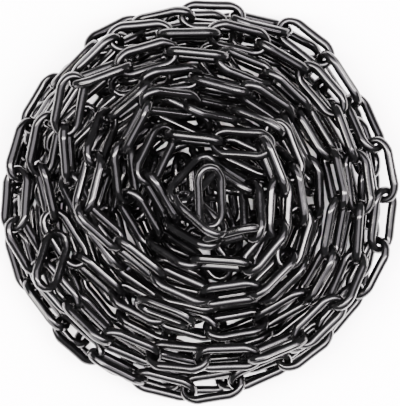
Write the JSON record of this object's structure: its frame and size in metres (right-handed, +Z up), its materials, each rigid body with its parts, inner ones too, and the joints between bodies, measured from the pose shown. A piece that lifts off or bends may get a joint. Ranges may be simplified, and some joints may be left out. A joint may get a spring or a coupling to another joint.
{
  "type": "heap of plastic chain",
  "caption": "Round spiral heap of black long-link plastic chain, stored as it lies, for linking, hanging or marking off an area.",
  "frame": {"origin": "on the floor under the middle of the heap's box", "axes": "+Z up out of the heap; +X to the right and +Y to the top of the picture, which looks straight down"},
  "size_m": [0.2956, 0.2999, 0.1187],
  "materials": {
    "chain_plastic": "gloss"
  },
  "bodies": {
    "root": {"hidden_core": "chain_plastic", "rim_turn_1": "chain_plastic", "rim_turns_2_3": "chain_plastic", "top_turn_1": "chain_plastic", "top_turn_2": "chain_plastic", "top_turn_3": "chain_plastic", "top_turn_4": "chain_plastic", "top_turn_5": "chain_plastic"}
  },
  "joints": []
}
